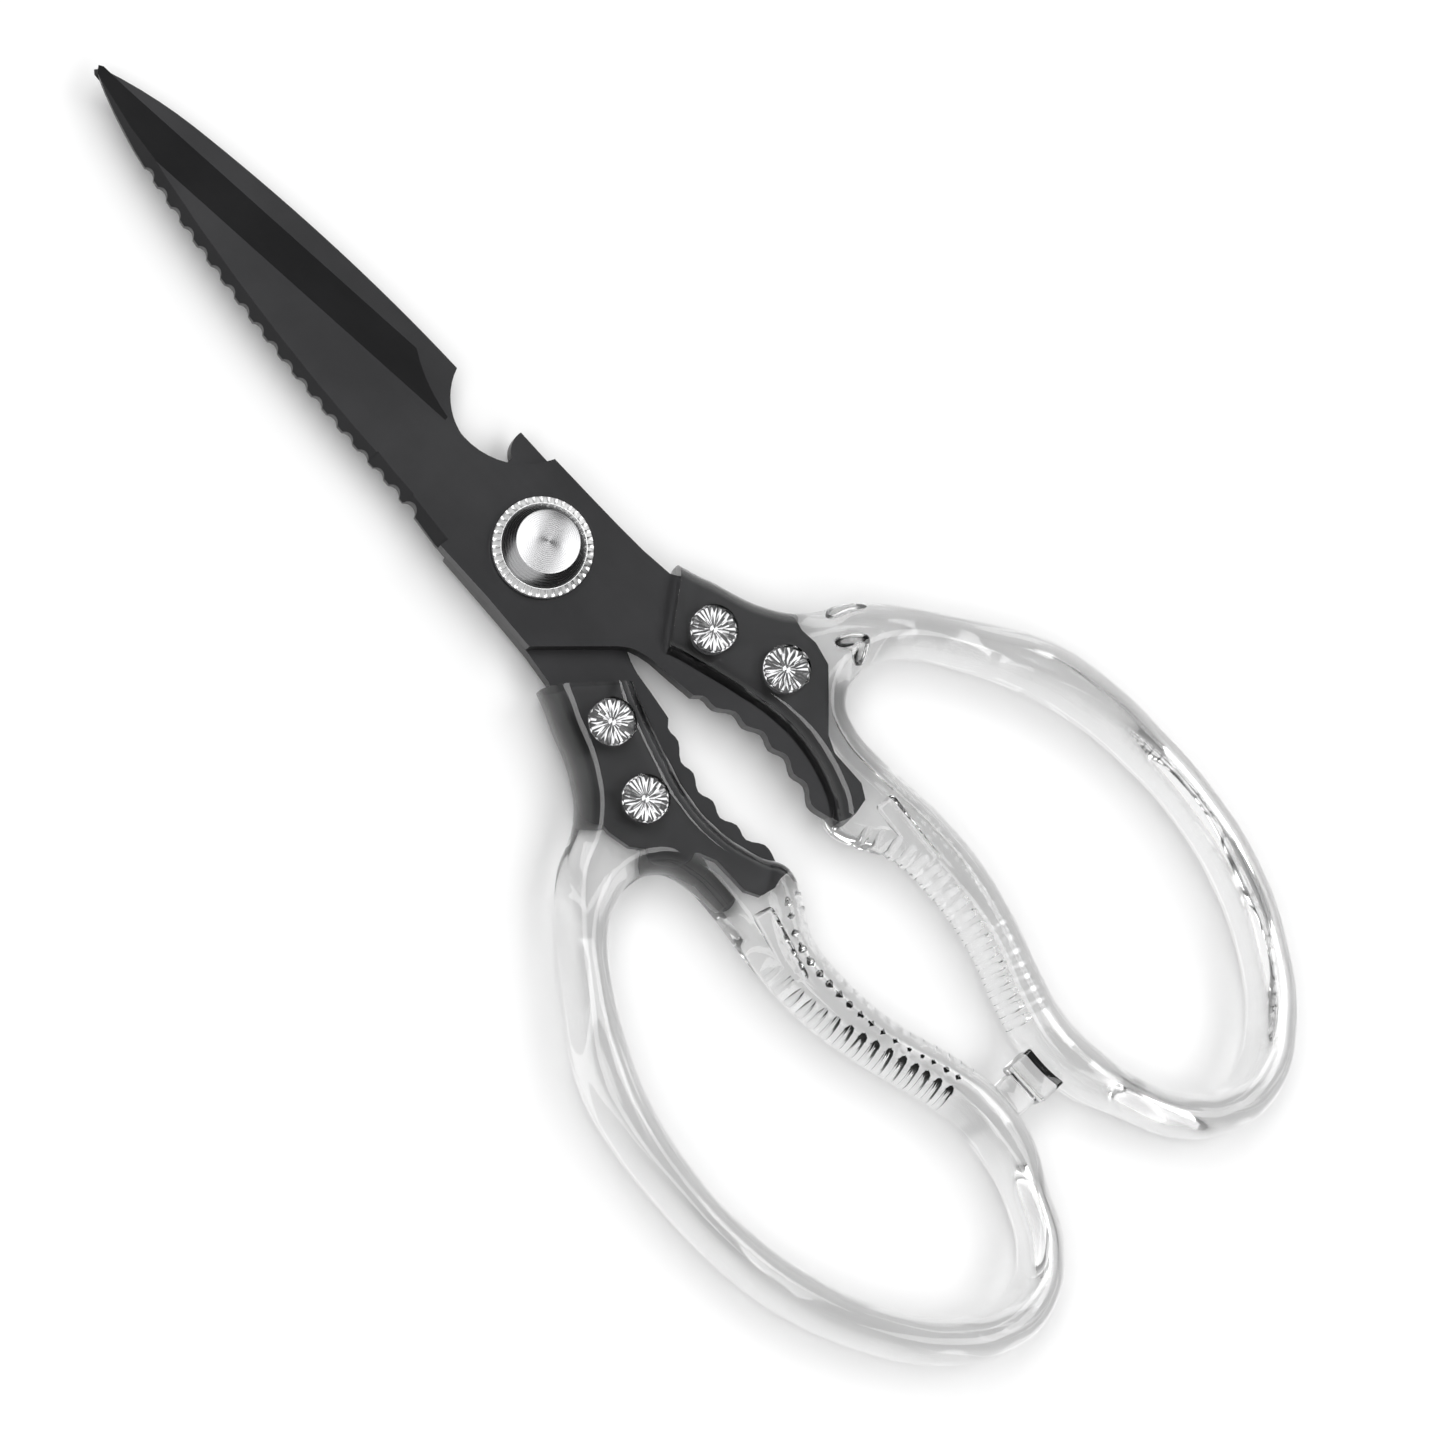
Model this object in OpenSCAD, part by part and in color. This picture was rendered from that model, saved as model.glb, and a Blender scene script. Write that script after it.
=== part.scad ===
// Poultry shears: two crossed steel blades on a screw pivot, each riveted into a clear loop handle.
// Frame: origin on the pivot axis at the underside of the screw head, +Y to the blade tips, +Z up.
// The front blade carries the handle on +X, the back blade the handle on -X.

/* [Overall] */
// Pivot axis to the blade tips
blade_reach = 94; // [78:1:115]
// Pivot axis to the far end of the handles
handle_reach = 130.6; // [109:0.2:158]
// Width over both loops, closed
handle_span = 103.2; // [86:0.2:126]

/* [Blades] */
// Steel thickness of each blade
blade_t = 3; // [2.4:0.1:3.6]
// Width of a blade across the pivot
blade_w = 21.4; // [20:0.1:24]
// Pivot axis to the heel of the cutting edge
heel_y = 33.5; // [30:0.5:40]
// Width of the ground cutting bevel
edge_bevel = 5.9; // [4.9:0.1:7.1]
// Land left at the cutting edge
edge_land = 0.3; // [0.2:0.05:0.5]
// Width of the bevel along the spine
spine_bevel = 1.3; // [1:0.1:1.6]
// Notches of the fish scaler on the front spine
scaler_n = 19; // [10:1:20]
// Spacing of the scaler notches
scaler_pitch = 3.37; // [2.8:0.01:3.5]
// Radius of a scaler notch
scaler_r = 1.5; // [1.2:0.1:1.6]
// Depth of a scaler notch
scaler_depth = 0.5; // [0.3:0.05:0.7]
// Radius of the bottle-opener notch in the back spine
opener_r = 9.9; // [8.2:0.1:10.6]

/* [Nutcracker] */
// Pivot axis to the tail of the tang
tang_reach = 58.4; // [49:0.2:71]
// Gap from the centre line to the deepest tooth line
jaw_depth = 6; // [5:0.1:7.2]
// Pitch of the jaw teeth
jaw_pitch = 4.85; // [4:0.05:5.9]
// Height of the jaw teeth
jaw_tooth = 0.9; // [0.5:0.1:1.2]

/* [Handles] */
// Thickness of a handle
handle_t = 12; // [10:0.5:15]
// Rounding of the handle's edges
handle_round = 2.7; // [2:0.1:2.8]
// Length of the stop block along the grip
stop_len = 7; // [5:0.5:9]
// Height of the stop block
stop_h = 6; // [4:0.5:8]

/* [Rivets] */
// Diameter of a rivet head
rivet_head_d = 6.8; // [5.6:0.1:8.2]
// Thickness of a rivet head
rivet_head_t = 1.1; // [0.8:0.1:1.4]
// Diameter of the rivet barrel
rivet_d = 4; // [3.4:0.1:4.8]
// Diameter of the pin pressed into the barrel
rivet_pin_d = 2.4; // [2:0.1:2.9]
// Clearance round a head in its recess
recess_gap = 0.2; // [0.1:0.05:0.3]

/* [Pivot] */
// Diameter of the shank that the front blade turns on
shank_d = 6; // [5:0.1:7.2]
// Diameter of the threaded end
thread_d = 5; // [4:0.1:5]
// Diameter of the screw head
screw_head_d = 13; // [11:0.5:15.6]
// Diameter over the reeds of the nut
nut_d = 14.8; // [12.8:0.1:17.8]
// Height of the reeded skirt
nut_skirt = 2.2; // [1.8:0.1:2.7]
// Height of the whole nut over the blade
nut_h = 5.7; // [4.7:0.1:6.9]
// Diameter of the nut's flat face
nut_face_d = 9; // [7.5:0.1:10.8]
// Number of reeds
reeds = 40; // [24:1:46]
// Height of the spring washer
washer_h = 0.7; // [0.5:0.1:0.9]
// Outer diameter of the spring washer
washer_d = 10; // [8.4:0.1:11.6]
// Radial running clearance
run_gap = 0.05; // [0.03:0.01:0.1]

/* [Hidden] */
$fn = 64;

coated = "#2b2b2d";
steel = "#c3c7ca";
clear = "#dfe6ea";

meet_z = handle_t / 2;            // plane where the two blades meet
head_t = meet_z - blade_t;        // the screw head stands level with the backs of the handles
neck_w = shank_d + 0.8;           // square neck that keeps the screw from turning in the back blade
nut_z = meet_z + blade_t;         // top of the front blade
through = 1;                      // how far a cut runs past the face it opens

// The outlines below are drawn at the standard sizes and stretched to the sizes set above:
// the tang zone between its collar and its tail, the loops past the tail and outside loop_x.
collar_y = -19;
tail_y = -58.4;
end_y = -130.6;
loop_x = 22;
side_x = 51.6;
tang_k = (tang_reach + collar_y) / (collar_y - tail_y);
loop_k = (handle_reach - tang_reach) / (tail_y - end_y);
span_k = (handle_span / 2 - loop_x) / (side_x - loop_x);
function along(y) = y > collar_y ? y
    : y > tail_y ? collar_y + (y - collar_y) * tang_k
    : -tang_reach + (y - tail_y) * loop_k;
function across(x) = x < loop_x ? x : loop_x + (x - loop_x) * span_k;
function place(p) = [across(p[0]), along(p[1])];

rivet_at = [place([10.2, -25.1]), place([14.2, -36.4])];

// ---- Blade outline: the front blade from above, edge and tang on +X, spine on -X

function arc(c, r, a0, a1, n) = [for (i = [0:n]) let (a = a0 + (a1 - a0) * i / n) c + r * [cos(a), sin(a)]];
// Radius of an arc that leaves point a along Y and reaches point b
function arc_r(a, b) = (pow(b[0] - a[0], 2) + pow(b[1] - a[1], 2)) / (2 * (b[0] - a[0]));

collar_x = blade_w / 2;
spine_x = collar_x - 0.95;
spine_y = 22;
// Half width at the spine: a long easy curve, tighter over the last fifth
function spine(y) = let (t = max(0, (y - spine_y) / (blade_reach - spine_y)), u = max(0, t - 0.78))
    spine_x * (1 - 0.81 * t * t - 3.3 * u * u);
spine_steps = 24;
spine_line = [for (i = [0:spine_steps]) let (y = spine_y + (blade_reach - 0.8 - spine_y) * i / spine_steps)
    [-spine(y), y]];
spine_foot = [0.5 - collar_x, 15.5];

heel = [collar_x - 3.6, heel_y];
tip = [0.4, blade_reach];
shoulder = [1.15, blade_reach - 5];
// Relief between heel and collar: a shallow arc down from the heel, then a rounder one
relief = [collar_x - 8, 19.3];
relief_foot = [collar_x - 0.2, 8.3];
heel_r = arc_r(relief, heel);
foot_r = arc_r(relief, relief_foot);
heel_a = asin((heel[1] - relief[1]) / heel_r);
foot_a = asin((relief[1] - relief_foot[1]) / foot_r);

// Jaw teeth, a wave laid on a bow that swings away from the centre line
jaw_top = along(-31.2);
jaw_end = along(-54.8);
jaw_mid = along(-44.5);
jaw_lip = 2.7;
jaw_bow = (jaw_depth - jaw_lip) / pow(jaw_top - jaw_mid, 2);
tooth_steps = 6;
jaw_n = floor((jaw_top - jaw_end) / jaw_pitch * tooth_steps);
function jaw_x(y) = jaw_depth - jaw_bow * pow(y - jaw_mid, 2)
    + jaw_tooth / 2 * cos(360 * (jaw_top - y) / jaw_pitch);
jaw_line = [for (i = [jaw_n:-1:0]) let (y = jaw_top - i * jaw_pitch / tooth_steps) [jaw_x(y), y]];

tang_outer = [for (p = [[12.7, -16.5], [14.5, -19.5], [17.9, -26.5], [20.1, -32], [20.6, -36.5], [19.8, -40],
    [16.5, -43.5], [12.7, -47.5], [11.6, -50], [11.5, -55.8], [10.3, -57.9], [8, -58.4], [6, -57.8],
    [4.9, -56.4]]) place(p)];
tang_inner = [for (p = [[2.1, -30.2], [1.5, -26], [1.1, -22.5], [0.6, -20.6], [0, -19.2],
    [-1.3, -17.7]]) place(p)];

blade_outline = concat(
    [tip, tip + [0.5, -0.6], shoulder],
    arc(relief + [heel_r, 0], heel_r, 180 - heel_a, 180, 8),
    arc(relief + [foot_r, 0], foot_r, 180, 180 + foot_a, 10),
    [[collar_x, 0], [collar_x + 0.15, -5], [collar_x + 0.4, -10], [collar_x + 1, -15]],
    tang_outer, jaw_line, tang_inner,
    [[-0.35 - collar_x, -9.2], [-collar_x, 0], [-collar_x, 10.6], spine_foot],
    spine_line);

// Bar along +X that leaves a face rising to the left, from z0 at its edge to the top over width w
module bevel_bar(w, z0, len) {
    over = 4;
    lift = over * (blade_t - z0) / w;
    rotate([90, 0, 90]) linear_extrude(len)
        polygon([[-over, z0 - lift], [w + over, blade_t + lift], [-over, blade_t + lift]]);
}

// Lays a bevel bar along the line from a to b, past each end by the given lengths
module bevel_along(a, b, w, z0, past_a, past_b) {
    d = b - a;
    translate([a[0], a[1], 0]) rotate([0, 0, atan2(d[1], d[0])]) translate([-past_a, 0, 0])
        bevel_bar(w, z0, norm(d) + past_a + past_b);
}

// A blade lying on z = 0, flat face down and ground face up
module blade_blank() {
    grind = 10;                  // the grinding runs out this far below the heel
    spine_z = blade_t * 0.35;    // height at which the spine bevel starts
    span = 3;                    // spine steps covered by one bevel plane
    difference() {
        linear_extrude(blade_t) polygon(blade_outline);
        bevel_along(heel, shoulder, edge_bevel, edge_land, grind, grind);
        for (i = [0:span:spine_steps - span])
            bevel_along(spine_line[i + span], spine_line[i], spine_bevel, spine_z, 4, 4);
        bevel_along(spine_line[0], spine_foot, spine_bevel, spine_z, 4, 5.5);
        for (p = rivet_at) translate([p[0], p[1], -through])
            cylinder(d = rivet_d + 2 * run_gap, h = blade_t + 2 * through);
    }
}

module front_blade() {
    color(coated) translate([0, 0, meet_z]) difference() {
        blade_blank();
        translate([0, 0, -through]) cylinder(d = shank_d + 2 * run_gap, h = blade_t + 2 * through);
        for (i = [0:scaler_n - 1]) {
            y = 16.9 + i * scaler_pitch;
            translate([-spine(y) - scaler_r + scaler_depth, y, -through])
                cylinder(r = scaler_r, h = blade_t + 2 * through);
        }
    }
}

module back_blade() {
    opener = [collar_x - 7.3 + opener_r, 18.3];
    valley_y = 12.6;             // floor of the notch beside the tooth
    tooth_x = collar_x - 0.4;
    tooth_r = 3.35;
    neck = neck_w + 2 * run_gap;
    color(coated) translate([0, 0, meet_z]) rotate([0, 180, 0]) difference() {
        union() {
            difference() {
                blade_blank();
                translate([-opener[0], opener[1], -through]) cylinder(r = opener_r, h = blade_t + 2 * through);
            }
            // cap-lifting tooth
            linear_extrude(blade_t) intersection() {
                union() {
                    translate([-tooth_x + 0.55, valley_y - 1.4]) circle(r = tooth_r);
                    translate([-tooth_x, 8]) square([tooth_x - 5, valley_y - 8]);
                }
                translate([-tooth_x, 0]) square([tooth_x, 20]);
            }
        }
        translate([-neck / 2, -neck / 2, -through]) cube([neck, neck, blade_t + 2 * through]);
    }
}

// ---- Handles: a closed loop swept between an outer line and the finger hole

// Pairs of points, outer line then finger hole, clockwise from the front of the casing
loop_pairs = [
    [[5.5, -11], [19.3, -45.3]], [[11.8, -12], [19.8, -44.95]], [[15.4, -18.6], [20.4, -44.65]],
    [[19, -27.2], [21.3, -44.4]], [[22.9, -32], [23.2, -44.2]], [[29.4, -35.6], [26.4, -44.8]],
    [[34.6, -40.7], [30, -46.9]], [[41.9, -50.2], [35.2, -53.4]], [[48, -59.4], [39.4, -61]],
    [[50.7, -69.2], [42.7, -69.8]], [[51.5, -80], [44.3, -79.6]], [[51.3, -91], [44.3, -90.8]],
    [[49.1, -103.3], [42, -102]], [[44.2, -114.6], [37.4, -112.4]], [[36.4, -124.9], [31.6, -119.6]],
    [[27.6, -130.2], [26.4, -122.8]], [[18.8, -129.8], [20.7, -122.9]], [[12, -124.7], [17.1, -120.5]],
    [[7.5, -116.4], [13.2, -113.6]], [[4.1, -109], [11.6, -106]], [[3.3, -101], [11.5, -100]],
    [[5, -93], [13, -93.6]], [[7.9, -84.2], [15.8, -84.8]], [[9.1, -75], [17.6, -76]],
    [[8.4, -67], [17.9, -67]], [[5.7, -62.2], [17.4, -60.6]], [[4.3, -57.6], [16.9, -55.4]],
    [[6.3, -53.4], [16.8, -52]], [[8, -47], [17.1, -49.4]], [[8, -41], [17.5, -47.7]],
    [[6.4, -34], [17.9, -46.85]], [[3.9, -26], [18.35, -46.25]], [[1.2, -17], [18.8, -45.75]]];
loop_sub = 3;                    // steps between two points of a line
casing_front = [[2.8, -22.5], [11.8, -15.4]];

// Closed smooth curve through the points p
function smooth(p) = let (n = len(p)) [for (i = [0:n - 1]) for (k = [0:loop_sub - 1])
    let (t = k / loop_sub, a = p[(i + n - 1) % n], b = p[i], c = p[(i + 1) % n], d = p[(i + 2) % n])
    0.5 * (2 * b + (c - a) * t + (2 * a - 5 * b + 4 * c - d) * t * t + (3 * b - a - 3 * c + d) * t * t * t)];
// Unit normals to the right of the curve
function normals(p) = let (n = len(p)) [for (i = [0:n - 1])
    let (d = p[(i + 1) % n] - p[(i + n - 1) % n]) [d[1], -d[0]] / norm(d)];

outer_line = smooth([for (q = loop_pairs) place(q[0])]);
hole_line = smooth([for (q = loop_pairs) place(q[1])]);
outer_in = normals(outer_line);
hole_in = -normals(hole_line);

// The rounding shrinks with a narrow loop, whose wall has to hold it on both sides
edge_r = min(handle_round, 3 * min(span_k, loop_k));
// Section of the loop as [side, inset, height]: side 0 is the outer line, side 1 the hole
quarter = [for (a = [0:30:90]) [edge_r * (1 - sin(a)), edge_r * (1 - cos(a))]];
turned = [for (i = [3:-1:0]) quarter[i]];
section = concat(
    [for (q = quarter) [0, q[0], q[1]]], [for (q = turned) [0, q[0], handle_t - q[1]]],
    [for (q = quarter) [1, q[0], handle_t - q[1]]], [for (q = turned) [1, q[0], q[1]]]);

module loop_solid() {
    n = len(outer_line);
    m = len(section);
    points = [for (i = [0:n - 1]) for (s = section)
        let (p = s[0] == 0 ? outer_line[i] + s[1] * outer_in[i] : hole_line[i] + s[1] * hole_in[i])
        [p[0], p[1], s[2]]];
    faces = [for (i = [0:n - 1]) for (j = [0:m - 1])
        let (a = i * m + j, b = i * m + (j + 1) % m, c = (i + 1) % n * m + (j + 1) % m, d = (i + 1) % n * m + j)
        each [[a, d, b], [d, c, b]]];
    polyhedron(points, faces);
}

// Handle on the +X side, whole: without the pocket for its tang
module handle_blank() {
    d = casing_front[1] - casing_front[0];
    stop_y = along(-103.7);
    recess = rivet_head_t + 0.1;
    difference() {
        union() {
            loop_solid();
            translate([0, stop_y - stop_len / 2, (handle_t - stop_h) / 2]) cube([5, stop_len, stop_h]);
        }
        translate([casing_front[0][0], casing_front[0][1], -through]) rotate([0, 0, atan2(d[1], d[0])])
            translate([-10, 0, 0]) cube([40, 30, handle_t + 2 * through]);
        for (p = rivet_at) translate([p[0], p[1], 0]) {
            translate([0, 0, -through]) cylinder(d = rivet_d + 2 * run_gap, h = handle_t + 2 * through);
            for (z = [-through, handle_t - recess]) translate([0, 0, z])
                cylinder(d = rivet_head_d + 2 * recess_gap, h = recess + through);
        }
    }
}

module right_handle() {
    color(clear) difference() {
        handle_blank();
        translate([0, 0, meet_z]) linear_extrude(blade_t) polygon(blade_outline);
    }
}

module left_handle() {
    color(clear) mirror([1, 0, 0]) difference() {
        handle_blank();
        translate([0, 0, meet_z - blade_t]) linear_extrude(blade_t) polygon(blade_outline);
    }
}

// ---- Rivets: a headed barrel from the front, a headed pin pressed into it from the back

barrel_z = rivet_head_t + 0.5;            // lower end of the barrel
pin_top = handle_t - rivet_head_t - 2;    // upper end of the pin

module rivet_head(x, y) {
    color(steel) translate([x, y, 0]) difference() {
        union() {
            translate([0, 0, handle_t - 0.1 - rivet_head_t]) cylinder(d = rivet_head_d, h = rivet_head_t);
            translate([0, 0, barrel_z]) cylinder(d = rivet_d, h = handle_t - 0.5 - barrel_z);
        }
        translate([0, 0, barrel_z - through])
            cylinder(d = rivet_pin_d + 0.04, h = pin_top + 0.3 + through - barrel_z);
    }
}

module rivet_pin(x, y) {
    color(steel) translate([x, y, 0.1]) {
        cylinder(d = rivet_head_d, h = rivet_head_t);
        cylinder(d = rivet_pin_d, h = pin_top - 0.1);
    }
}

// ---- Pivot

module pivot_screw() {
    cut = 0.5;
    color(steel) difference() {
        union() {
            cylinder(d1 = screw_head_d - 2 * cut, d2 = screw_head_d, h = cut);
            translate([0, 0, cut]) cylinder(d = screw_head_d, h = head_t - cut);
            translate([-neck_w / 2, -neck_w / 2, head_t - 0.5]) cube([neck_w, neck_w, blade_t + 0.5]);
            cylinder(d = shank_d, h = nut_z + 0.1);
            cylinder(d = thread_d, h = nut_z + nut_h - 1.3);
        }
        // holes for a pin spanner
        for (s = [-1, 1]) translate([s * screw_head_d * 0.3, 0, -through]) cylinder(d = 1.8, h = 1.4 + through);
    }
}

module spring_washer() {
    inner = thread_d / 2 + 0.6;
    outer = washer_d / 2;
    sheet = 0.35;
    color(steel) translate([0, 0, nut_z]) rotate_extrude()
        polygon([[outer - 0.5, 0], [outer, 0], [outer, sheet], [inner + 0.5, washer_h], [inner, washer_h],
            [inner, washer_h - sheet]]);
}

module pivot_nut() {
    lift = 0.15;                 // the skirt clears the blade by this much
    reed_r = PI * nut_d / reeds * 0.36;
    cone_d = nut_d - 1.9;
    color(steel) translate([0, 0, nut_z]) difference() {
        rotate_extrude() polygon([[0, lift], [nut_d / 2 - 0.3, lift], [nut_d / 2, lift + 0.3],
            [nut_d / 2, nut_skirt - 0.35], [nut_d / 2 - 0.35, nut_skirt], [cone_d / 2, nut_skirt],
            [nut_face_d / 2, nut_h], [0, nut_h]]);
        translate([0, 0, -through]) cylinder(d = washer_d + 0.6, h = washer_h + through);
        cylinder(d = thread_d + 2 * run_gap, h = nut_h - 0.9);
        for (i = [0:reeds - 1]) rotate([0, 0, i * 360 / reeds]) translate([nut_d / 2 + 0.1, 0, -through])
            cylinder(r = reed_r, h = nut_skirt + 2 * through, $fn = 24);
    }
}

back_blade();
left_handle();
pivot_screw();
spring_washer();
front_blade();
right_handle();
pivot_nut();
rivet_head(rivet_at[0][0], rivet_at[0][1]);  // rivet_head_1
rivet_head(rivet_at[1][0], rivet_at[1][1]);  // rivet_head_2
rivet_head(-rivet_at[0][0], rivet_at[0][1]);  // rivet_head_3
rivet_head(-rivet_at[1][0], rivet_at[1][1]);  // rivet_head_4
rivet_pin(rivet_at[0][0], rivet_at[0][1]);  // rivet_pin_1
rivet_pin(rivet_at[1][0], rivet_at[1][1]);  // rivet_pin_2
rivet_pin(-rivet_at[0][0], rivet_at[0][1]);  // rivet_pin_3
rivet_pin(-rivet_at[1][0], rivet_at[1][1]);  // rivet_pin_4
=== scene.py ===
# Poultry shears: two black coated blades on a finger nut, riveted into clear moulded loop handles.
# Sizes are written in millimetres and multiplied by mm; meshes are in metres, in the frame of the CAD.

from math import atan2, cos, pi, radians, sin

import bmesh
import bpy
from mathutils import Matrix, Vector


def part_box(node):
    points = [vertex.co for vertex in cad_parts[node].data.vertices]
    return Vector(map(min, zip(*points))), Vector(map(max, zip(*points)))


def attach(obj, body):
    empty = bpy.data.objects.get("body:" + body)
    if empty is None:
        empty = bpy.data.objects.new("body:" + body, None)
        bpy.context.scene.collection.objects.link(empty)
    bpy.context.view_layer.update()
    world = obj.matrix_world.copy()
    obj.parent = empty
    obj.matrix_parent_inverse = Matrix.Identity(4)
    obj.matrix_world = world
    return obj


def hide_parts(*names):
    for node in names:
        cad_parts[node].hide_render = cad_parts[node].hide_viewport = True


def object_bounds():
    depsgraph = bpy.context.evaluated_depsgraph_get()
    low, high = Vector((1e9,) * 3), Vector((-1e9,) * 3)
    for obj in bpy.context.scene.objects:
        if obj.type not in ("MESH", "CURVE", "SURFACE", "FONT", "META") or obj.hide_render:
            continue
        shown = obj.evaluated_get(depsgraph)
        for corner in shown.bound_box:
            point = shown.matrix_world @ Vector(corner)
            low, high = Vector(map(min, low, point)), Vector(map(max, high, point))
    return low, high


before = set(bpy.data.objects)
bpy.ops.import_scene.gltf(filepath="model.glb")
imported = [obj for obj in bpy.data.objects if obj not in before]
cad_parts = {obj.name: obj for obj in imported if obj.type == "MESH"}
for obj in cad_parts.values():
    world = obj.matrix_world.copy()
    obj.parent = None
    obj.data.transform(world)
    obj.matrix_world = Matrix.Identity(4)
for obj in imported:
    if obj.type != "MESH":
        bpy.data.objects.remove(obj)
cadBox = [list(corner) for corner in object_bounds()]
print("frame loaded")

mm = 0.001


def linearColour(hexText):
    channels = [int(hexText[i:i + 2], 16) / 255 for i in (1, 3, 5)]
    return [c / 12.92 if c <= 0.04045 else ((c + 0.055) / 1.055) ** 2.4 for c in channels] + [1]


def addNode(material, kind, inputs=None, **settings):
    # inputs holds plain values and sockets to link, by the name of the input
    node = material.node_tree.nodes.new("ShaderNode" + kind)
    for name, value in settings.items():
        setattr(node, name, value)
    for name, value in (inputs or {}).items():
        if isinstance(value, bpy.types.NodeSocket):
            material.node_tree.links.new(value, node.inputs[name])
        else:
            node.inputs[name].default_value = value
    return node


def newMaterial(name):
    material = bpy.data.materials.new(name)
    material.use_nodes = True
    material.node_tree.nodes.clear()
    return material


def finishMaterial(material, surface):
    addNode(material, "OutputMaterial", {"Surface": surface.outputs[0]})
    return material


def objectPoint(material, scale=(1, 1, 1)):
    # Object coordinates, stretched and still in metres
    place = addNode(material, "TexCoord")
    return addNode(material, "Mapping", {"Vector": place.outputs["Object"], "Scale": scale}).outputs[0]


def newPiece(name, bm, material, body, smoothAngle=None):
    # an object from a bmesh; without smoothAngle, in degrees, its faces stay flat
    mesh = bpy.data.meshes.new(name)
    bm.to_mesh(mesh)
    bm.free()
    piece = bpy.data.objects.new(name, mesh)
    bpy.context.scene.collection.objects.link(piece)
    shadeSmooth(piece, smoothAngle)
    mesh.materials.append(material)
    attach(piece, body)
    return piece


def shadeSmooth(piece, smoothAngle):
    if smoothAngle:
        for face in piece.data.polygons:
            face.use_smooth = True
        piece.data.set_sharp_from_angle(angle=radians(smoothAngle))
        weighted = piece.modifiers.new("weightedNormals", "WEIGHTED_NORMAL")  # keeps large flats flat
        weighted.keep_sharp = True


def evaluatedMesh(piece):
    bpy.context.view_layer.update()
    return bpy.data.meshes.new_from_object(piece.evaluated_get(bpy.context.evaluated_depsgraph_get()))


def combine(bm, tool, operation):
    # boolean of two bmeshes, which gives a new one and frees both
    objects = []
    for part in (bm, tool):
        mesh = bpy.data.meshes.new("boolean")
        part.to_mesh(mesh)
        part.free()
        objects.append(bpy.data.objects.new("boolean", mesh))
        bpy.context.scene.collection.objects.link(objects[-1])
    modifier = objects[0].modifiers.new("boolean", "BOOLEAN")
    modifier.object = objects[1]
    modifier.operation = operation
    modifier.solver = "EXACT"
    result = bmesh.new()
    result.from_mesh(evaluatedMesh(objects[0]))
    for one in objects:
        bpy.data.objects.remove(one)
    return result


def bevelEdges(bm, edges, width, segments=2):
    # width in metres
    bmesh.ops.bevel(bm, geom=edges, affect="EDGES", offset=width, segments=segments, profile=0.5,
                    material=-1, clamp_overlap=True)


def placed(*steps):
    # product of the given matrices, of which the last is applied first
    result = Matrix()
    for step in steps:
        result = result @ step
    return result


# Black PVD coating on satin-ground stainless steel: dark, half metallic, with fine lengthwise grinding
blade = {
    "flat": "#2d2d2e",       # colour of the coating
    "worn": "#343435",       # where it has rubbed thin
    "grainWidth": 0.35,      # mm between grinding lines, coarser than the real 0.05 so that they show
    "grainLength": 14,       # mm
    "wearSize": 14,          # mm, of the worn patches
    "roughness": (0.3, 0.44),
    "edgeRound": 0.1,        # mm
    "sharpAngle": 20,        # degrees, from which an edge is rounded
}


def coatedSteel():
    material = newMaterial("black PVD-coated steel")
    stretch = blade["grainWidth"] / blade["grainLength"]
    lines = addNode(material, "TexNoise", {"Vector": objectPoint(material, (1, stretch, 1)),
                                           "Scale": 1 / (blade["grainWidth"] * mm), "Detail": 3})
    cloud = addNode(material, "TexNoise", {"Vector": objectPoint(material),
                                           "Scale": 1 / (blade["wearSize"] * mm), "Detail": 4})
    wear = addNode(material, "MapRange", {"Value": cloud.outputs[0], "From Min": 0.4, "From Max": 0.75})
    colour = addNode(material, "Mix", {"Factor": wear.outputs[0]}, data_type="RGBA")
    colour.inputs[6].default_value = linearColour(blade["flat"])
    colour.inputs[7].default_value = linearColour(blade["worn"])
    smoothest, roughest = blade["roughness"]
    rough = addNode(material, "MapRange", {"Value": lines.outputs[0], "To Min": smoothest,
                                           "To Max": roughest})
    bump = addNode(material, "Bump", {"Height": lines.outputs[0], "Strength": 0.25, "Distance": 0.01 * mm})
    steel = addNode(material, "BsdfPrincipled", {"Base Color": colour.outputs[2], "Metallic": 0.9,
                                                 "Roughness": rough.outputs[0], "Normal": bump.outputs[0]})
    return finishMaterial(material, steel)


def finishedCopy(node, name, material, body, width):
    # a merged copy of a CAD node with its sharp edges rounded, width in mm
    bm = bmesh.new()
    bm.from_mesh(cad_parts[node].data)
    bmesh.ops.remove_doubles(bm, verts=bm.verts, dist=0.001 * mm)
    bmesh.ops.dissolve_limit(bm, angle_limit=radians(0.3), verts=bm.verts, edges=bm.edges)
    sharp = [e for e in bm.edges
             if len(e.link_faces) == 2 and e.calc_face_angle(0) > radians(blade["sharpAngle"])]
    bevelEdges(bm, sharp, width * mm)
    piece = newPiece(name, bm, material, body, 30)
    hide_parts(node)
    return piece


blackCoat = coatedSteel()
finishedCopy("front_blade", "frontBlade", blackCoat, "front_half", blade["edgeRound"])
finishedCopy("back_blade", "backBlade", blackCoat, "back_half", blade["edgeRound"])
print("blades finished")


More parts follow.
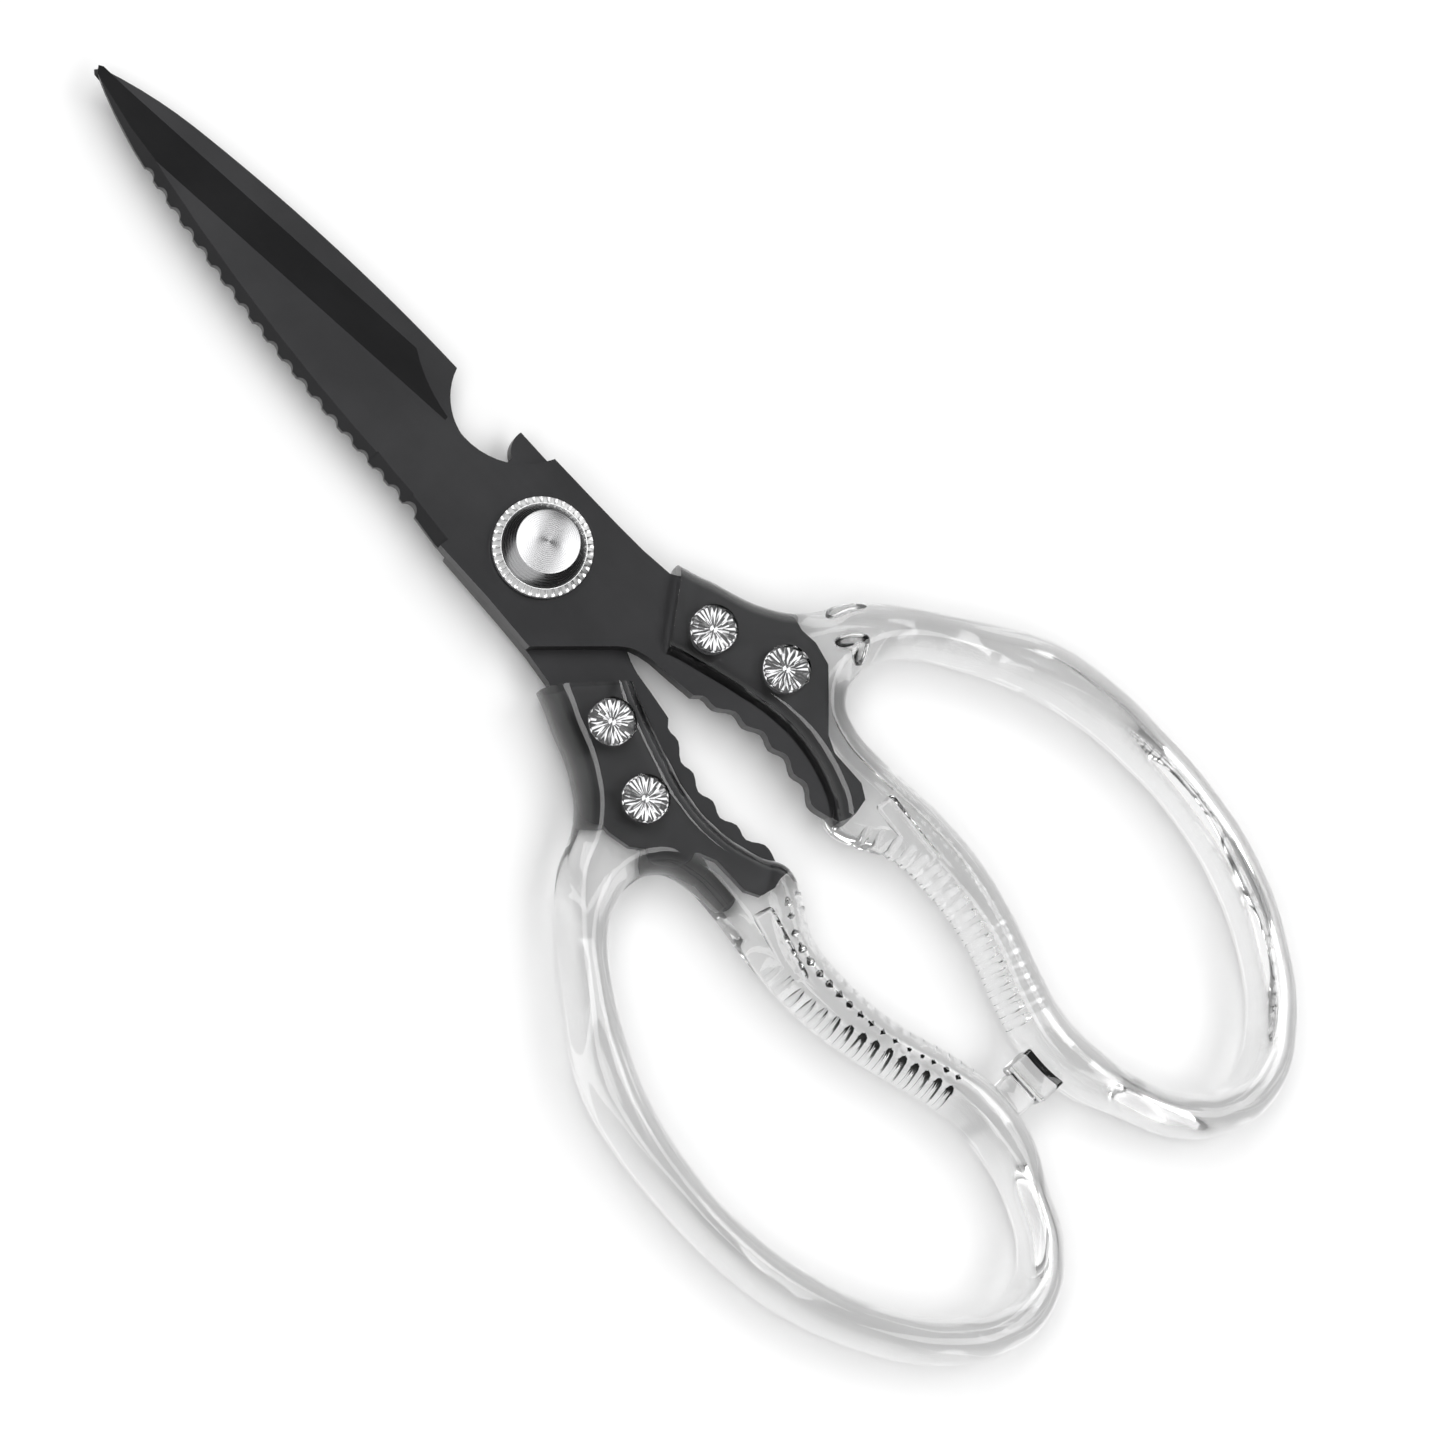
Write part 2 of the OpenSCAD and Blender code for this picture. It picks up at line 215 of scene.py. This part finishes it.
# Injection-moulded polycarbonate, polished mould: clear as glass, with slow waves in its surface
handle = {
    "tint": "#fcfcfc",
    "wave": 20,              # size of the swells in the surface, in mm, as are the rest
    "waveHeight": 1.1,
    "thickness": 12,
    "crown": 3.3,            # how far in the oval rounding of the edges reaches
    "flank": 0.35,           # half height of the upright part of the sides, before they are drawn out
    "inset": 0.12,           # keeps the loops inside the outline of the CAD
    "frontEdge": 1.4,        # rounding of the casing's front
    "frontLine": ((2.8, -23.5), (11.8, -16.4)),     # two points of the line where the casing ends
    "recessGap": 0.2,        # round a rivet head
    "recessDepth": 1.2,
    "ribs": (-62, -97),      # from and to, along Y
    "ribPitch": 2,
    "ribRadius": 0.8,
    "ribLength": 8,
    "ribDepth": {1: 0.42, -1: 0.27},             # by side, 1 for the handle on +X
    "stops": {1: (5, 7, 6), -1: (5, 5.4, 5)},    # sizes of the stop blocks, by side
    "stopAt": -103.7,        # along Y
    "stopRound": 0.5,
    "plaque": (3.6, 12, 0.5),       # width, length and depth of the bare recess on the grip
    "plaqueRound": 0.9,
    "pocket": (2.6, 5.5, 5),        # width, length and height of the egg that hollows the underside
}

# The outline and the finger hole of the handle on +X, both clockwise, in mm; a smooth curve runs through them
outerLine = [
    (5.5, -11), (11.8, -12), (15.4, -18.6), (19, -27.2), (22.9, -32), (29.4, -35.6), (34.6, -40.7),
    (41.9, -50.2), (48, -59.4), (50.7, -69.2), (51.5, -80), (51.3, -91), (49.1, -103.3), (44.2, -114.6),
    (36.4, -124.9), (27.6, -130.2), (18.8, -129.8), (12, -124.7), (7.5, -116.4), (4.1, -109), (3.3, -101),
    (5, -93), (7.9, -84.2), (9.1, -75), (8.4, -67), (5.7, -62.2), (4.3, -57.6), (6.3, -53.4), (8, -47),
    (8, -41), (6.4, -34), (3.9, -26), (1.2, -17)]
holeLine = [
    (23.2, -44.2), (26.4, -44.8), (30, -46.9), (35.2, -53.4), (39.4, -61), (42.7, -69.8), (44.3, -79.6),
    (44.3, -90.8), (42, -102), (37.4, -112.4), (31.6, -119.6), (26.4, -122.8), (20.7, -122.9),
    (17.1, -120.5), (13.2, -113.6), (11.6, -106), (11.5, -100), (13, -93.6), (15.8, -84.8), (17.6, -76),
    (17.9, -67), (17.4, -60.6), (16.9, -55.4), (17.1, -49.4), (18.8, -45.8)]


def clearPlastic():
    material = newMaterial("clear polycarbonate")
    wave = addNode(material, "TexNoise", {"Vector": objectPoint(material), "Scale": 1 / (handle["wave"] * mm),
                                          "Detail": 0})
    bump = addNode(material, "Bump", {"Height": wave.outputs[0], "Strength": 0.3,
                                      "Distance": handle["waveHeight"] * mm})
    plastic = addNode(material, "BsdfPrincipled", {
        "Base Color": linearColour(handle["tint"]), "Roughness": 0.02, "IOR": 1.58,
        "Transmission Weight": 1, "Normal": bump.outputs[0]})
    return finishMaterial(material, plastic)


def loopBlank():
    # a flat curve with a hole, thickened and rounded over
    curve = bpy.data.curves.new("loop", "CURVE")
    curve.dimensions = "2D"
    curve.fill_mode = "BOTH"
    curve.resolution_u = 16
    for line in (outerLine, holeLine):
        spline = curve.splines.new("BEZIER")
        spline.bezier_points.add(len(line) - 1)
        spline.use_cyclic_u = True
        for point, (x, y) in zip(spline.bezier_points, line):
            point.co = (x * mm, y * mm, 0)
            point.handle_left_type = point.handle_right_type = "AUTO"
    curve.extrude = handle["flank"] * mm
    curve.bevel_depth = handle["crown"] * mm
    curve.bevel_resolution = 10
    curve.offset = -(handle["crown"] + handle["inset"]) * mm
    loop = bpy.data.objects.new("loop", curve)
    bpy.context.scene.collection.objects.link(loop)
    bm = bmesh.new()
    bm.from_mesh(evaluatedMesh(loop))
    bpy.data.objects.remove(loop)
    bmesh.ops.remove_doubles(bm, verts=bm.verts, dist=0.001 * mm)
    # the round section is drawn out to an oval of the full thickness
    stretch = handle["thickness"] / 2 / (handle["flank"] + handle["crown"])
    bmesh.ops.scale(bm, verts=bm.verts, vec=(1, 1, stretch))
    bmesh.ops.translate(bm, verts=bm.verts, vec=(0, 0, handle["thickness"] / 2 * mm))
    bmesh.ops.recalc_face_normals(bm, faces=bm.faces)
    return bm


def roundedBlock(size, rounding, matrix):
    # size and rounding in mm
    bm = bmesh.new()
    bmesh.ops.create_cube(bm, size=1, matrix=Matrix.Diagonal([s * mm for s in size] + [1]))
    bevelEdges(bm, bm.edges[:], rounding * mm, 3)
    bmesh.ops.transform(bm, matrix=matrix, verts=bm.verts)
    return bm


def addPeg(bm, radius, length, matrix, segments):
    # radius and length in mm, with the middle of the peg where matrix puts it
    bmesh.ops.create_cone(bm, cap_ends=True, segments=segments, radius1=radius * mm, radius2=radius * mm,
                          depth=length * mm, matrix=matrix)


def loopHandle(name, side, rivets, plaque, pocket, body, node, material):
    # side is 1 for the handle on +X and -1 for its mirror image; everything is cut on +X first.
    # plaque and pocket give the place of each as x, y and degrees about Z
    bm = loopBlank()
    (ax, ay), (bx, by) = handle["frontLine"]
    cut = bmesh.ops.bisect_plane(bm, geom=bm.verts[:] + bm.edges[:] + bm.faces[:], clear_outer=True,
                                 plane_co=(ax * mm, ay * mm, 0), plane_no=(ay - by, bx - ax, 0))
    rim = [e for e in cut["geom_cut"] if isinstance(e, bmesh.types.BMEdge)]
    bmesh.ops.edgeloop_fill(bm, edges=rim)
    bevelEdges(bm, rim, handle["frontEdge"] * mm, 5)

    size = handle["stops"][side]
    stop = Matrix.Translation((size[0] / 2 * mm, handle["stopAt"] * mm, handle["thickness"] / 2 * mm))
    bm = combine(bm, roundedBlock(size, handle["stopRound"], stop), "UNION")

    # a round recess for each rivet head in the top, and for its pin in the underside
    past = 1    # mm that each cutter stands out of the handle
    length = handle["recessDepth"] + past
    recesses = bmesh.new()
    for x, y, radius in rivets:
        for z in (length / 2 - past, handle["thickness"] + past - length / 2):
            spot = Matrix.Translation((x * mm, y * mm, z * mm))
            addPeg(recesses, radius + handle["recessGap"], length, spot, 48)
    bm = combine(bm, recesses, "DIFFERENCE")

    x, y, turn = plaque
    width, length, depth = handle["plaque"]
    spot = placed(Matrix.Translation((x * mm, y * mm, (handle["thickness"] + past - depth) * mm)),
                  Matrix.Rotation(radians(turn), 4, "Z"))
    bm = combine(bm, roundedBlock((width, length, 2 * past), handle["plaqueRound"], spot), "DIFFERENCE")

    # moulding pocket in the underside, where the casing runs out into the loop
    x, y, turn = pocket
    spot = placed(Matrix.Translation((x * mm, y * mm, 0)), Matrix.Rotation(radians(turn), 4, "Z"))
    hollow = bmesh.new()
    bmesh.ops.create_uvsphere(hollow, u_segments=24, v_segments=12, radius=0.5, matrix=placed(
        spot, Matrix.Diagonal([s * mm for s in handle["pocket"]] + [1])))
    bm = combine(bm, hollow, "DIFFERENCE")

    for height in (pi / 4, -pi / 4, 0):
        bm = combine(bm, ribCutter(bm, height, handle["ribDepth"][side]), "DIFFERENCE")
    if side < 0:
        bmesh.ops.scale(bm, verts=bm.verts, vec=(-1, 1, 1))
        bmesh.ops.reverse_faces(bm, faces=bm.faces)
    bmesh.ops.remove_doubles(bm, verts=bm.verts, dist=0.002 * mm)
    piece = newPiece(name, bm, material, body, 40)
    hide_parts(node)
    return piece


def ribCutter(bm, height, depth):
    # a row of pegs along the grip's inner side, at a height given as an angle round its oval section
    mesh = bpy.data.meshes.new("ribs")
    bm.to_mesh(mesh)
    grip = bpy.data.objects.new("ribs", mesh)
    bpy.context.scene.collection.objects.link(grip)
    bpy.context.view_layer.update()
    across, upright = handle["crown"], handle["thickness"] / 2
    lean = atan2(sin(height) * across, cos(height) * upright)
    tool = bmesh.new()
    start, end = handle["ribs"]
    for i in range(int((start - end) / handle["ribPitch"]) + 1):
        y = start - i * handle["ribPitch"]
        point, normal = grip.ray_cast((0, y * mm, upright * mm), (1, 0, 0))[1:3]
        out = Vector((normal.x, normal.y, 0)).normalized()
        clear = handle["ribRadius"] - depth
        centre = point / mm + out * (across * (cos(height) - 1) + cos(lean) * clear)
        centre.z += upright * sin(height) + sin(lean) * clear
        spot = placed(Matrix.Translation(centre * mm), Matrix.Rotation(atan2(out.y, out.x), 4, "Z"),
                      Matrix.Rotation(-lean, 4, "Y"))
        addPeg(tool, handle["ribRadius"], handle["ribLength"], spot, 16)
    bpy.data.objects.remove(grip)
    return tool


def rivetSpot(number):
    # x, y and radius of a rivet head in mm, as if it were on +X
    low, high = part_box("rivet_head_%d" % number)
    return abs(low.x + high.x) / 2 / mm, (low.y + high.y) / 2 / mm, (high.x - low.x) / 2 / mm


polycarbonate = clearPlastic()
loopHandle("rightHandle", 1, [rivetSpot(1), rivetSpot(2)], (11.2, -65.5, -5), (26.5, -40, 55),
           "front_half", "right_handle", polycarbonate)
loopHandle("leftHandle", -1, [rivetSpot(3), rivetSpot(4)], (14.2, -65, 15), (16.5, -46, 60),
           "back_half", "left_handle", polycarbonate)
print("handles moulded")


# Diamond-cut stainless steel: a star of bright facets round a small dome
rivet = {
    "steel": "#9e9e9f",
    "roughness": 0.16,
    "smear": 1.5,            # mm, of the patches that are a little duller or brighter
    "rays": 14,              # long rays, with as many short ones between them
    "dome": (0.55, 0.1),     # mm, radius and height of the dome in the middle
    "rim": 0.2,              # mm, height of the chamfer round the head
    "head": 1,               # mm, thickness of the head
    "barrel": 0.59,          # radius of the barrel under the head, as a share of the head's
    "fold": 0.05,            # how far the valleys fall for each mm from the middle
    "shards": (0.4, 0.68, 0.93),    # where the facets break, as shares of the radius
    # at each of those, how far the crest of a long ray, a valley, a short ray and a valley fall
    "falls": ((0, 1, 1, 1), (0.45, 1, 0.2, 1), (0.1, 1, 0, 1)),
    "pinEdge": 0.25,         # mm, rounding of the pins
}


def polishedSteel(name, hexText, rough):
    # bright, with faint smears that vary its gloss by three tenths either way
    material = newMaterial(name)
    smear = addNode(material, "TexNoise", {"Vector": objectPoint(material),
                                           "Scale": 1 / (rivet["smear"] * mm), "Detail": 3})
    shine = addNode(material, "MapRange", {"Value": smear.outputs[0], "To Min": rough * 0.7,
                                           "To Max": rough * 1.3})
    steel = addNode(material, "BsdfPrincipled", {"Base Color": linearColour(hexText), "Metallic": 1,
                                                 "Roughness": shine.outputs[0]})
    return finishMaterial(material, steel)


def ringOut(bm, ring, radius):
    # carries a ring of edges on to another radius, and gives its edges and vertices
    made = bmesh.ops.extrude_edge_only(bm, edges=ring)["geom"]
    verts = [v for v in made if isinstance(v, bmesh.types.BMVert)]
    for v in verts:
        v.co.xy = v.co.xy.normalized() * radius
    return [e for e in made if isinstance(e, bmesh.types.BMEdge) and set(e.verts) <= set(verts)], verts


def starHead(number, body, material):
    low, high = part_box("rivet_head_%d" % number)
    radius = (high.x - low.x) / 2
    middle = Vector(((low.x + high.x) / 2, (low.y + high.y) / 2, 0))
    steps = rivet["rays"] * 4
    domeRadius, domeHeight = rivet["dome"]
    face = high.z - domeHeight * mm
    bm = bmesh.new()
    bmesh.ops.create_circle(bm, cap_ends=True, cap_tris=True, segments=steps, radius=domeRadius * mm)
    summit = [v for v in bm.verts if v.co.length < 0.01 * mm]
    bmesh.ops.translate(bm, verts=bm.verts, vec=(0, 0, face))
    bmesh.ops.translate(bm, verts=summit, vec=(0, 0, domeHeight * mm))
    ring = [e for e in bm.edges if len(e.link_faces) == 1]
    for shard, (share, falls) in enumerate(zip(rivet["shards"], rivet["falls"])):
        ring, verts = ringOut(bm, ring, share * radius)
        for v in verts:
            k = round(atan2(v.co.y, v.co.x) / (2 * pi) * steps) % steps
            uneven = 0.75 + 0.5 * sin(k * 2.4 + shard * 1.7 + number) ** 2    # no two facets quite alike
            v.co.z = face - falls[k % 4] * uneven * rivet["fold"] * v.co.xy.length
    # the rim, the side of the head, then the barrel down to its lower end
    under, barrel = face - rivet["head"] * mm, radius * rivet["barrel"]
    for size, z in ((radius, face - rivet["rim"] * mm), (radius, under), (barrel, under), (barrel, low.z)):
        ring, verts = ringOut(bm, ring, size)
        for v in verts:
            v.co.z = z
    bmesh.ops.edgeloop_fill(bm, edges=ring)
    bmesh.ops.translate(bm, verts=bm.verts, vec=middle)
    bmesh.ops.triangulate(bm, faces=bm.faces, quad_method="SHORT_EDGE")
    bmesh.ops.recalc_face_normals(bm, faces=bm.faces)
    piece = newPiece("rivetHead%d" % number, bm, material, body)
    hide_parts("rivet_head_%d" % number)
    return piece


rivetSteel = polishedSteel("diamond-cut stainless steel", rivet["steel"], rivet["roughness"])
for number, body in ((1, "front_half"), (2, "front_half"), (3, "back_half"), (4, "back_half")):
    starHead(number, body, rivetSteel)
    finishedCopy("rivet_pin_%d" % number, "rivetPin%d" % number, rivetSteel, body,
                 rivet["pinEdge"])
print("rivets set")


# Turned stainless steel: fine circular tool marks that give the flat face its fan of light.
# The reeded ring is knurled and plain stainless steel, a little duller, and its colour is painted near white:
# a painted highlight that makes the reeds show bright
pivot = {
    "steel": "#a6a6a7",
    "roughness": (0.2, 0.32),
    "toolMarks": 0.9,        # scale of the rings in mm, coarser than the real 0.05 so that they show
    # painted highlight: the reeds' steel is painted near white so that the ring shows bright
    "reedSteelPaintedBright": "#f6f6f6",
    "reedRoughness": 0.35,
    "reeds": 40,
    "reedDepth": 0.65,       # mm, as are the rest
    "reedWidth": 1.05,       # how far in from the rim they reach
    "skirt": 2.05,           # height of the reeded part
    "faceRadius": 4.7,       # of the flat face
    "coneRadius": 6.3,       # where the cone meets the reeded ring
    "screwEdge": 0.12,       # rounding of the screw
    "washerEdge": 0.05,
}


def turnedSteel():
    material = newMaterial("turned stainless steel")
    spin = addNode(material, "Tangent", direction_type="RADIAL", axis="Z")
    place = addNode(material, "TexCoord")
    rings = addNode(material, "TexWave", {"Vector": place.outputs["Object"],
                                          "Scale": 1 / (pivot["toolMarks"] * mm), "Distortion": 0.6,
                                          "Detail": 2}, wave_type="RINGS", rings_direction="Z")
    smoothest, roughest = pivot["roughness"]
    shine = addNode(material, "MapRange", {"Value": rings.outputs[1], "To Min": smoothest,
                                           "To Max": roughest})
    steel = addNode(material, "BsdfPrincipled", {
        "Base Color": linearColour(pivot["steel"]), "Metallic": 1, "Roughness": shine.outputs[0],
        "Anisotropic": 0.8, "Tangent": spin.outputs[0]})
    return finishMaterial(material, steel)


def fingerNut(material, reeds):
    low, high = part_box("pivot_nut")
    radius = (high.x - low.x) / 2 / mm
    bottom, top = low.z / mm, high.z / mm
    skirt = bottom + pivot["skirt"]
    innerRadius = radius - pivot["reedWidth"]
    steps = pivot["reeds"] * 4
    # radii and heights from the middle of the face, down the cone, over the reeded ring, to the underside
    profile = [
        (0, top), (pivot["faceRadius"] - 0.2, top), (pivot["faceRadius"], top - 0.08),
        (pivot["coneRadius"] - 0.05, skirt), (pivot["coneRadius"] + 0.02, skirt),
        (innerRadius, skirt - 0.02), (radius - 0.12, skirt - 0.6), (radius, skirt - 0.85),
        (radius, bottom + 0.3), (radius - 0.3, bottom), (0, bottom)]
    bm = bmesh.new()
    points = [bm.verts.new((r * mm, 0, z * mm)) for r, z in profile]
    edges = [bm.edges.new(pair) for pair in zip(points, points[1:])]
    bmesh.ops.spin(bm, geom=points + edges, cent=(0, 0, 0), axis=(0, 0, 1), angle=2 * pi, steps=steps,
                   use_merge=True)
    bmesh.ops.remove_doubles(bm, verts=bm.verts, dist=0.001 * mm)
    bmesh.ops.recalc_face_normals(bm, faces=bm.faces)
    # one groove to every four steps, cut into the ring's shoulder; its rim stays round below
    for v in bm.verts:
        reach, height = v.co.xy.length / mm, v.co.z / mm
        if reach > innerRadius + 0.1 and height > skirt - 0.8:
            phase = round(atan2(v.co.y, v.co.x) / (2 * pi) * steps) % 4
            groove = (0, 0.1, 1, 0.1)[phase] * pivot["reedDepth"]
            v.co.xy *= 1 - groove * 0.4 / radius
            v.co.z -= groove * mm
    piece = newPiece("fingerNut", bm, material, "nut", 25)
    # the ring takes the second material, the steel painted near white for a painted highlight
    piece.data.materials.append(reeds)
    for face in piece.data.polygons:
        if min(piece.data.vertices[i].co.xy.length for i in face.vertices) / mm > innerRadius - 0.2:
            face.material_index = 1
    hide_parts("pivot_nut")
    return piece


latheSteel = turnedSteel()
# the reeded ring's steel is painted near white as a painted highlight
fingerNut(latheSteel, polishedSteel("knurled stainless steel, painted bright", pivot["reedSteelPaintedBright"], pivot["reedRoughness"]))
finishedCopy("pivot_screw", "pivotScrew", latheSteel, "back_half", pivot["screwEdge"])
finishedCopy("spring_washer", "springWasher", latheSteel, "back_half", pivot["washerEdge"])
print("pivot turned")


# A white paper floor in a pale studio, under two softboxes with a dark gap between them
stage = {
    "floor": "#f4f4f4",
    "floorSize": 8,          # m
    "floorGap": 0.05,        # mm under the object
    "paperGrain": 4,         # mm
    "wall": "#ffffff",
    "wallLow": 0.9,          # brightness of the studio walls at the floor
    "wallHigh": 0.25,        # and at wallTop and above it
    "wallTop": 0.5,          # sine of the angle above the floor
    "lampTurn": -63,         # degrees about Z of the line through the two softboxes
    "lampHeight": 2,         # m
    "lampSize": (1.1, 2.6),  # m, along that line and across it
    "lamps": (-0.62, 1.1),   # m along that line, of their middles
    "lampPower": 30,         # W each
}


def paperFloor():
    material = newMaterial("white studio paper")
    grain = addNode(material, "TexNoise", {"Vector": objectPoint(material),
                                           "Scale": 1 / (stage["paperGrain"] * mm), "Detail": 2})
    bump = addNode(material, "Bump", {"Height": grain.outputs[0], "Strength": 0.02, "Distance": 0.05 * mm})
    paper = addNode(material, "BsdfPrincipled", {"Base Color": linearColour(stage["floor"]),
                                                 "Roughness": 0.9, "Normal": bump.outputs[0]})
    bm = bmesh.new()
    bmesh.ops.create_grid(bm, x_segments=1, y_segments=1, size=stage["floorSize"] / 2)
    bmesh.ops.translate(bm, verts=bm.verts, vec=(0, 0, -stage["floorGap"] * mm))
    mesh = bpy.data.meshes.new("floor")
    bm.to_mesh(mesh)
    bm.free()
    floor = bpy.data.objects.new("floor", mesh)
    mesh.materials.append(finishMaterial(material, paper))
    bpy.context.scene.collection.objects.link(floor)


def studioWalls():
    # light from all round that fades upwards
    world = bpy.data.worlds.new("studio")
    world.use_nodes = True
    world.node_tree.nodes.clear()
    direction = addNode(world, "TexCoord")
    parts = addNode(world, "SeparateXYZ", {"Vector": direction.outputs["Generated"]})
    rise = addNode(world, "MapRange", {
        "Value": parts.outputs["Z"], "From Min": 0, "From Max": stage["wallTop"],
        "To Min": stage["wallLow"], "To Max": stage["wallHigh"]})
    wall = addNode(world, "Background", {"Color": linearColour(stage["wall"]), "Strength": rise.outputs[0]})
    addNode(world, "OutputWorld", {"Surface": wall.outputs[0]})
    bpy.context.scene.world = world


def softbox(name, aside):
    # a lamp overhead that faces straight down
    lamp = bpy.data.lights.new(name, "AREA")
    lamp.shape = "RECTANGLE"
    lamp.size, lamp.size_y = stage["lampSize"]
    lamp.energy = stage["lampPower"]
    box = bpy.data.objects.new(name, lamp)
    turn = radians(stage["lampTurn"])
    box.location = (aside * cos(turn), aside * sin(turn), stage["lampHeight"])
    box.rotation_euler = (0, 0, turn)
    bpy.context.scene.collection.objects.link(box)


# The camera looks down on the front, leaning over to -X, with the tips to the upper left
view = {
    "aim": (3.4, -17.6, -1.35),  # mm from the middle of the CAD box
    "distance": 900,             # mm
    "lean": 15.65,               # degrees towards -X
    "nod": 1.15,                 # degrees about X
    "roll": 42.58,               # degrees about Z
    "lens": 155.8,               # mm
}


def makeCamera():
    low, high = [Vector(corner) for corner in cadBox]
    aim = (low + high) / 2 + Vector(view["aim"]) * mm
    turn = placed(Matrix.Rotation(radians(view["roll"]), 4, "Z"),
                  Matrix.Rotation(radians(view["lean"]), 4, "Y"),
                  Matrix.Rotation(radians(view["nod"]), 4, "X")).transposed()
    data = bpy.data.cameras.new("camera")
    data.lens = view["lens"]
    data.sensor_width = 36
    data.clip_start = 0.01
    data.clip_end = 20
    camera = bpy.data.objects.new("camera", data)
    camera.matrix_world = placed(Matrix.Translation(aim), turn,
                                 Matrix.Translation((0, 0, view["distance"] * mm)))
    bpy.context.scene.collection.objects.link(camera)
    bpy.context.scene.camera = camera


paperFloor()
studioWalls()
for name, aside in zip(("nearLamp", "farLamp"), stage["lamps"]):
    softbox(name, aside)
makeCamera()
bpy.context.scene.view_settings.view_transform = "Standard"
print("studio lit")
